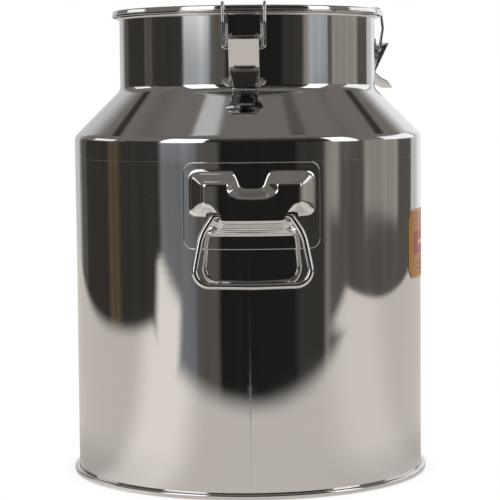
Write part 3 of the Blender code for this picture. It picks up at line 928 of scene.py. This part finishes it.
def handle_bail(pivot):
    """Closed trapezoid of wire about its top bar, hanging a little outwards."""
    half = [(36.0, 0.0), (47.3, -17.0), (56.8, -64.3), (0.0, -65.6)]
    radii = [6.0, 45.0, 14.0, 0.0]
    both = half + [(-x, z) for x, z in half[-2::-1]]
    corners = [(x * MM, 0, z * MM) for x, z in both]
    path = rounded(corners, [r * MM for r in radii + radii[-2::-1]], closed=True, steps=12)
    mesh = wire(path, HANDLE_WIRE_R, closed=True)
    mesh.transform(Matrix.Translation(pivot) @ Matrix.Rotation(-HANDLE_HANG_TILT, 4, "X"))
    return mesh


# ---------------------------------------------------------------- latches


def side_view():
    """Turns a flat piece drawn as (distance from the can's axis, z) to stand across the latch."""
    return Matrix(((0, 0, 1, 0), (-1, 0, 0, 0), (0, 1, 0, 0), (0, 0, 0, 1)))


def latch_bracket():
    """Plate curved to the neck, with two ears for the fulcrum pin."""
    half_w = BRACKET_HALF_W
    outline = box_loop(-half_w, half_w, BRACKET_LOW_Z, BRACKET_TOP_Z, 2.0 * MM)
    plate = laid_sheet(outline, [], flat_at(LATCH_SHEET), NECK_R + GAP, LATCH_SHEET, 1.6 * MM)
    ear = [
        (NECK_R + 0.6 * MM, 426.5 * MM),
        (NECK_R + 2.8 * MM, 427.6 * MM),
        *arc(FULCRUM, EYE_R, -25, 115, 14),
        (NECK_R + 0.6 * MM, 438.6 * MM),
    ]
    ears = [
        stamped(ear, 1.1 * MM, Matrix.Translation((x, 0, 0)) @ side_view(), 0.25 * MM)
        for x in (half_w - 0.6 * MM, 0.6 * MM - half_w)
    ]
    return joined([plate, *ears])


def latch_pin():
    """Fulcrum pin with a rounded head at each end."""
    head = PIN_HALF_L - PIN_HEAD_L
    crown = [
        (PIN_HEAD_R * math.sin(a), head + PIN_HEAD_L * (0.35 + 0.65 * math.cos(a)))
        for a in (math.radians(12 * k) for k in range(1, 8))
    ]
    bevel = 0.3 * MM
    under = [(PIN_HEAD_R, head + bevel), (PIN_HEAD_R - bevel, head), (PIN_R, head)]
    half = [(0.0, PIN_HALF_L), *crown, *under]
    outline = half + [(r, -z) for r, z in reversed(half)]
    verts, faces, sides = [], [], 28
    for k in range(sides):
        a = 2 * math.pi * k / sides
        verts += [(z, -FULCRUM[0] + r * math.cos(a), FULCRUM[1] + r * math.sin(a)) for r, z in outline]
    count = len(outline)
    for k in range(sides):
        for j in range(count - 1):
            n = (k + 1) % sides
            faces.append((k * count + j, n * count + j, n * count + j + 1, k * count + j + 1))
    mesh = bpy.data.meshes.new("pin")
    mesh.from_pydata(verts, [], faces)
    return welded(mesh)


def lever_flange():
    """Side flange: an eye round the fulcrum, a lug round the bail's eye, a strip along the plate."""
    r0 = NECK_R
    return [
        *arc(FULCRUM, EYE_R, 200, -10, 20),
        (r0 + 7.2 * MM, 430.6 * MM),
        (r0 + 9.8 * MM, 428.6 * MM),
        (r0 + 19.4 * MM, 431.2 * MM),
        (r0 + 5.9 * MM, 405.0 * MM),
        (r0 + 5.3 * MM, 405.8 * MM),
        *arc(BAIL_EYE, 3.0 * MM, -50, -180, 12),
        (r0 + 3.2 * MM, 428.6 * MM),
    ]


def latch_lever():
    """Stamped lever: a tilted plate that folds out into a finger tab with oval wings."""
    path = rounded([LEVER_TOP, LEVER_FOLD, LEVER_TIP], (0, 2.0 * MM, 0), steps=10)
    strip = stamped(band(path, LATCH_SHEET), 2 * LATCH_HALF_W, side_view(), 0.35 * MM)
    along = (Vector(LEVER_TIP) - Vector(LEVER_FOLD)).normalized()
    centre = Vector(LEVER_TIP) - along * TAB_HALF_L
    below = Vector((along.y, -along.x)) * 0.35 * MM
    slope = math.atan2(-along.y, along.x)
    oval = [
        (TAB_HALF_W * math.cos(a), TAB_HALF_L * math.sin(a))
        for a in (math.radians(7.5 * k) for k in range(48))
    ]
    tab = stamped(
        oval,
        1.2 * MM,
        Matrix.Translation((0, -centre.x - below.x, centre.y + below.y))
        @ Matrix.Rotation(slope, 4, "X"),
        0.45 * MM,
    )
    flange_x = LATCH_HALF_W - 0.7 * MM
    flanges = [
        stamped(lever_flange(), 1.0 * MM, Matrix.Translation((x, 0, 0)) @ side_view(), 0.25 * MM)
        for x in (flange_x, -flange_x)
    ]
    return joined([strip, tab, *flanges])


def latch_bail():
    """Wire from one lever eye, up outside the rim, over its crest and back to the other eye."""
    side = BAIL_HALF_W
    crest_z = LID_TOP_Z + BAIL_WIRE_R + 2 * GAP
    half = [
        (side - 7.0 * MM, BAIL_EYE[0], BAIL_EYE[1]),
        (side, BAIL_EYE[0], BAIL_EYE[1]),
        (side, NECK_R + 9.8 * MM, 437.0 * MM),
        (side, NECK_R + 11.6 * MM, 448.0 * MM),
        (side, NECK_R + 9.9 * MM, 461.5 * MM),
        (side, NECK_R + 7.6 * MM, crest_z),
        (side, HOOK[0], crest_z),
        (side, HOOK[0], HOOK[1]),
    ]
    radii = [r * MM for r in (0, 3.2, 20, 14, 3.0, 2.5, 1.6, 1.4)]
    path = [(x, -r, z) for x, r, z in half] + [(-x, -r, z) for x, r, z in reversed(half)]
    return wire(rounded(path, radii + radii[::-1], steps=9), BAIL_WIRE_R)


# ---------------------------------------------------------------- label


def label_sheet():
    half_w = BODY_R * math.sin((LABEL_TO - LABEL_FROM) / 2)
    outline = box_loop(-half_w, half_w, LABEL_LOW_Z, LABEL_TOP_Z, LABEL_CORNER)
    mesh = laid_sheet(outline, [], flat_at(LABEL_THICK), BODY_R + GAP, LABEL_THICK, 2.0 * MM)
    mesh.transform(Matrix.Rotation((LABEL_FROM + LABEL_TO) / 2, 4, "Z"))
    return mesh


# ---------------------------------------------------------------- assembly


def build_can():
    shell, fitting = "polished_steel", "fitting_steel"
    piece("body_shell", body_shell(), "can", shell, MIRROR, "body_cylinder")
    piece("shoulder_and_neck", shoulder_shell(), "can", shell, NECK_STEEL, "shoulder_neck")
    piece("bottom_shell", bottom_shell(), "can", shell, NECK_STEEL, "bottom_plate")
    piece("foot_ring", foot_ring(), "can", shell, NECK_STEEL, "base_ring")
    piece("label_sheet", label_sheet(), "can", "label_film", LABEL_FILM, "label")
    piece("lid_shell", lid_pan(), "lid", shell, LID_STEEL, "lid_pan")
    piece("lid_gasket", lid_seal(), "lid", "silicone", SILICONE, "lid_seal")
    piece("lid_strap", lid_handle(), "lid", fitting, FITTING, "lid_handle")
    plate = handle_plate()
    joints = {j["name"]: j for j in frame["joints"]}
    pivot = Vector(joints["handle_front_swing"]["pos_m"])
    bail = handle_bail(pivot)
    for name, turn in (("front", 0), ("back", math.pi)):
        matrix = Matrix.Rotation(turn, 4, "Z")
        body = f"handle_bail_{name}"
        piece(f"pressed_plate_{name}", moved(plate, matrix), "can", shell, PRESSED, f"handle_plate_{name}")
        piece(f"drop_handle_{name}", moved(bail, matrix), body, fitting, FITTING, body)
    parts = {
        "bracket": latch_bracket(),
        "pin": latch_pin(),
        "lever": latch_lever(),
        "bail": latch_bail(),
    }
    for i in (1, 2, 3):
        x, y = joints[f"latch_{i}_lever_swing"]["pos_m"][:2]
        matrix = Matrix.Rotation(math.atan2(x, -y), 4, "Z")
        for kind, mesh in parts.items():
            node = f"latch_{i}_{kind}"
            body = node if kind in ("lever", "bail") else "can"
            piece(f"{node}_detail", moved(mesh, matrix), body, fitting, FITTING, node)


# ---------------------------------------------------------------- studio


FULL = 180.0


def tone(level, warmth=0.0):
    """A studio colour: how strongly it shines, and how far it leans from blue towards red."""
    return (level * (1 + warmth), level, level * (1 - warmth), 1)


BLACK, DARK, DIM = tone(0.015, 0.05), tone(0.04, 0.10), tone(0.10, 0.10)
WOOD, CEILING, GREY = tone(0.08, 0.40), tone(0.18, 0.10), tone(0.30, 0.10)
COOL, SCREEN, PALE = tone(0.20, -0.05), tone(0.45, -0.05), tone(0.60, 0.0)
WHITE, LIT, LAMP = tone(0.95), tone(1.2), tone(1.9)
FLOOR, FLOOR_LIT = tone(0.62, 0.08), tone(0.90, 0.07)

# Walls round the studio at the can's height: where each strip starts, in degrees, and its tone
WALLS = (
    (-180, PALE), (-150, DIM), (-135, DARK), (-105, WOOD), (-95, DARK), (-60, COOL), (-35, DIM),
    (-20, BLACK), (30, DARK), (50, GREY), (60, DIM), (80, GREY), (115, DIM), (135, PALE),
)


def azimuth_strips(nodes, azimuth, walls, soft=1.5):
    stops = []
    for (start, colour), (_, colour_before) in zip(walls[1:], walls):
        stops += [(start - soft, colour_before), (start + soft, colour)]
    unit = nodes.math("MULTIPLY_ADD", azimuth, 1 / (2 * FULL), 0.5)
    return nodes.ramp(unit, [((place + FULL) / (2 * FULL), colour) for place, colour in stops])


def studio_world():
    """What the steel reflects, by direction. The camera itself sees plain white."""
    world = bpy.data.worlds.new("studio")
    bpy.context.scene.world = world
    world.use_nodes = True
    tree = world.node_tree
    tree.nodes.clear()
    nodes = Nodes(tree)
    split = nodes.add("ShaderNodeSeparateXYZ")
    nodes.feed(split.inputs[0], nodes.add("ShaderNodeTexCoord").outputs["Generated"])
    x, y, z = split.outputs
    degrees = 180 / math.pi
    azimuth = nodes.math("MULTIPLY", nodes.math("ARCTAN2", x, nodes.math("MULTIPLY", y, -1.0)), degrees)
    height = nodes.math("MULTIPLY", nodes.math("ARCSINE", z), degrees)
    away = nodes.math("ABSOLUTE", azimuth)

    # Room: dark in front, a taupe ceiling overhead
    unit = nodes.math("MULTIPLY_ADD", height, 1 / 180, 0.5)
    levels = ((-90, DARK), (5, BLACK), (30, DARK), (60, CEILING), (90, CEILING))
    room = nodes.ramp(unit, [((e + 90) / 180, c) for e, c in levels])
    side = nodes.math("MULTIPLY", nodes.between(away, 60, 155, 15), nodes.between(height, 5, 50, 10))
    room = nodes.mix(side, room, CEILING)

    # Walls at the can's own level
    walls = azimuth_strips(nodes, azimuth, WALLS)
    level = nodes.between(height, -30, 7, 6)
    colour = nodes.mix(level, room, walls)

    # The right wall stands on a darker floor, seen low down
    low_right = nodes.math("MULTIPLY", nodes.between(azimuth, 52, 126, 8), nodes.smooth(height, -3.7, -4.6))
    colour = nodes.mix(low_right, colour, DIM)

    def panel(under, az, heights, shade, soft_az=3.0, soft_height=3.0):
        mask = nodes.math(
            "MULTIPLY", nodes.between(azimuth, *az, soft_az), nodes.between(height, *heights, soft_height)
        )
        return nodes.mix(mask, under, shade)

    # Front-left softbox: its skirt, its dim lower edge and its bright face
    colour = panel(colour, (-60, -35), (-1, 45), SCREEN, 6.0, 2.0)
    colour = panel(colour, (-60, -35), (2, 40), WHITE, 6.0, 2.0)
    colour = panel(colour, (-60, -30), (4, 40), LAMP, 2.0, 2.0)
    # Front-right softbox
    colour = panel(colour, (55, 75), (0, 40), SCREEN, 3.0, 2.0)
    colour = panel(colour, (55, 75), (4, 40), LAMP, 2.0, 2.0)
    # Shelves on the left, seen in the neck
    colour = panel(colour, (-105, -95), (0, 15), DIM, 3.0, 2.0)
    colour = panel(colour, (-90, -60), (0, 15), DARK, 5.0, 2.0)
    # Narrow strip on the left and a wide sheet behind on the right
    colour = panel(colour, (-125, -100), (10, 20), LIT, 3.0, 4.0)
    colour = panel(colour, (100, 145), (5, 25), LIT, 6.0, 6.0)

    # Clutter: uneven vertical streaks round the walls
    direction = nodes.add("ShaderNodeCombineXYZ")
    for socket, value in zip(direction.inputs, (x, y, z)):
        nodes.feed(socket, value)
    streaks = nodes.noise(nodes.scaled(direction.outputs[0], (9.0, 9.0, 2.4)), 1.0, 4.0)
    clutter = nodes.math("MULTIPLY_ADD", streaks, 0.8, 0.6)
    low_down = nodes.math("MULTIPLY", nodes.between(height, -40, 24, 24), nodes.smooth(away, 128, 108))
    dappled = nodes.mix(1.0, colour, clutter, "MULTIPLY")
    colour = nodes.mix(low_down, colour, dappled)

    # White sweep behind, and the dark gap above it
    behind = nodes.smooth(away, 118, 134)
    gap = nodes.math("MULTIPLY", behind, nodes.between(height, 37, 41.5, 2))
    colour = nodes.mix(gap, colour, DARK)
    sweep = nodes.math("MULTIPLY", nodes.smooth(away, 142, 156), nodes.smooth(height, 38, 36))
    screen = nodes.mix(nodes.smooth(x, -0.4, 0.4), PALE, WHITE)
    colour = nodes.mix(sweep, colour, screen)

    # Overhead: a bright patch left of the middle and a dark beam on the right
    def overhead(under, middle, spread, shade):
        dx = nodes.math("DIVIDE", nodes.math("SUBTRACT", x, middle[0]), spread[0])
        dy = nodes.math("DIVIDE", nodes.math("SUBTRACT", y, middle[1]), spread[1])
        squares = nodes.math("ADD", nodes.math("MULTIPLY", dx, dx), nodes.math("MULTIPLY", dy, dy))
        near = nodes.smooth(nodes.math("SQRT", squares), 1.25, 0.75)
        mask = nodes.math("MULTIPLY", near, nodes.math("GREATER_THAN", z, 0.0))
        return nodes.mix(mask, under, shade)

    colour = overhead(colour, (-0.25, 0.05), (0.10, 0.05), PALE)
    colour = overhead(colour, (0.30, 0.05), (0.05, 0.05), DIM)
    colour = overhead(colour, (0.50, 0.40), (0.05, 0.10), CEILING)

    output = nodes.add("ShaderNodeOutputWorld")
    studio = nodes.add("ShaderNodeBackground")
    nodes.feed(studio.inputs["Color"], colour)
    white = nodes.add("ShaderNodeBackground")
    white.inputs["Color"].default_value = (1, 1, 1, 1)
    chooser = nodes.add("ShaderNodeMixShader")
    nodes.feed(chooser.inputs[0], nodes.add("ShaderNodeLightPath").outputs["Is Camera Ray"])
    nodes.feed(chooser.inputs[1], studio.outputs[0])
    nodes.feed(chooser.inputs[2], white.outputs[0])
    nodes.feed(output.inputs["Surface"], chooser.outputs[0])


def stage_plane(name, outline, z, material):
    mesh = bpy.data.meshes.new(name)
    mesh.from_pydata([(x, y, z) for x, y in outline], [], [tuple(range(len(outline)))])
    mesh.materials.append(material)
    item = new_object(name, mesh)
    return item


def reflected_floor():
    """The pale floor as the steel sees it: it ends in front of the can and runs back to the sweep."""
    material = bpy.data.materials.new("pale_floor")
    material.use_nodes = True
    tree = material.node_tree
    tree.nodes.clear()
    nodes = Nodes(tree)
    split = nodes.add("ShaderNodeSeparateXYZ")
    nodes.feed(split.inputs[0], nodes.add("ShaderNodeTexCoord").outputs["Object"])
    x, y = split.outputs[:2]
    front = nodes.smooth(y, -0.86, -0.62)
    right_wing = nodes.math("MULTIPLY", nodes.smooth(x, 1.0, 1.35), nodes.smooth(y, -1.1, -0.85))
    depth = nodes.math("MAXIMUM", front, right_wing)
    sides = nodes.math("MULTIPLY", nodes.smooth(x, -1.56, -1.28), nodes.smooth(x, 1.94, 1.84))
    azimuth = nodes.math("ARCTAN2", x, nodes.math("MULTIPLY", y, -1.0))
    spike = nodes.between(azimuth, math.radians(-61), math.radians(-44), math.radians(6))
    spike = nodes.math("MULTIPLY", spike, nodes.smooth(y, -1.6, -1.2))
    mask = nodes.math("MAXIMUM", nodes.math("MULTIPLY", depth, sides), spike)
    # Painted sheen: this glowing floor is brighter towards the two softboxes' azimuths, a painted
    # reflection of them
    lit_left = nodes.between(azimuth, math.radians(-70), math.radians(-35), math.radians(20))
    lit_right = nodes.between(azimuth, math.radians(50), math.radians(90), math.radians(30))
    lit = nodes.math("MULTIPLY_ADD", lit_right, 0.5, lit_left)
    pale = nodes.mix(lit, FLOOR, FLOOR_LIT)
    # Painted contact shadow: the floor's glow is dimmer near the can's base, beside it more than in front
    distance = nodes.math("SQRT", nodes.math("MULTIPLY_ADD", x, x, nodes.math("MULTIPLY", y, y)))
    beside = nodes.smooth(nodes.math("ABSOLUTE", azimuth), math.radians(20), math.radians(80))
    shadow = nodes.math("MULTIPLY", beside, nodes.smooth(distance, 0.42, 0.19))
    shade = nodes.math("MULTIPLY_ADD", shadow, -0.24, 1.0)
    light = nodes.add("ShaderNodeEmission")
    nodes.feed(light.inputs["Color"], pale)
    nodes.feed(light.inputs["Strength"], shade)
    clear = nodes.add("ShaderNodeBsdfTransparent")
    chooser = nodes.add("ShaderNodeMixShader")
    nodes.feed(chooser.inputs[0], mask)
    nodes.feed(chooser.inputs[1], clear.outputs[0])
    nodes.feed(chooser.inputs[2], light.outputs[0])
    output = nodes.add("ShaderNodeOutputMaterial")
    nodes.feed(output.inputs["Surface"], chooser.outputs[0])
    outline = ((-2.3, -1.9), (2.1, -1.9), (2.1, 2.6), (-2.3, 2.6))
    floor = stage_plane("pale_floor", outline, -0.6 * MM, material)
    floor.visible_camera = False


def seen_floor():
    """The floor as the camera sees it: white, with a soft contact shadow."""
    material = bpy.data.materials.new("white_floor")
    material.use_nodes = True
    tree = material.node_tree
    tree.nodes.clear()
    nodes = Nodes(tree)
    near = nodes.add("ShaderNodeAmbientOcclusion")
    near.samples = 8
    near.inputs["Distance"].default_value = 0.05
    shade = nodes.ramp(near.outputs["AO"], [(0.0, (0.62, 0.61, 0.61, 1)), (0.7, (1, 1, 1, 1))])
    light = nodes.add("ShaderNodeEmission")
    nodes.feed(light.inputs["Color"], shade)
    output = nodes.add("ShaderNodeOutputMaterial")
    nodes.feed(output.inputs["Surface"], light.outputs[0])
    outline = ((-6, -6), (6, -6), (6, 6), (-6, 6))
    floor = stage_plane("white_floor", outline, -0.3 * MM, material)
    floor.visible_glossy = False
    floor.visible_diffuse = False


def camera():
    """A level view at the handle's side of the can, turned about the can's axis."""
    data = bpy.data.cameras.new("camera")
    data.sensor_width = 36.0
    data.lens = CAMERA_LENS
    data.shift_y = CAMERA_SHIFT
    data.clip_start = 0.05
    item = new_object("camera", data)
    level = Matrix.Rotation(math.pi / 2 - CAMERA_PITCH, 4, "X")
    place = Matrix.Translation((0, -CAMERA_DISTANCE, CAMERA_HEIGHT))
    turn = Matrix.Rotation(math.radians(CAMERA_AZIMUTH), 4, "Z")
    yaw = Matrix.Rotation(CAMERA_YAW, 4, "Z")
    roll = Matrix.Rotation(CAMERA_ROLL, 4, "Z")
    item.matrix_world = turn @ place @ yaw @ level @ roll
    bpy.context.scene.camera = item


camera()
build_can()
studio_world()
reflected_floor()
seen_floor()
bpy.context.scene.view_settings.view_transform = "Standard"
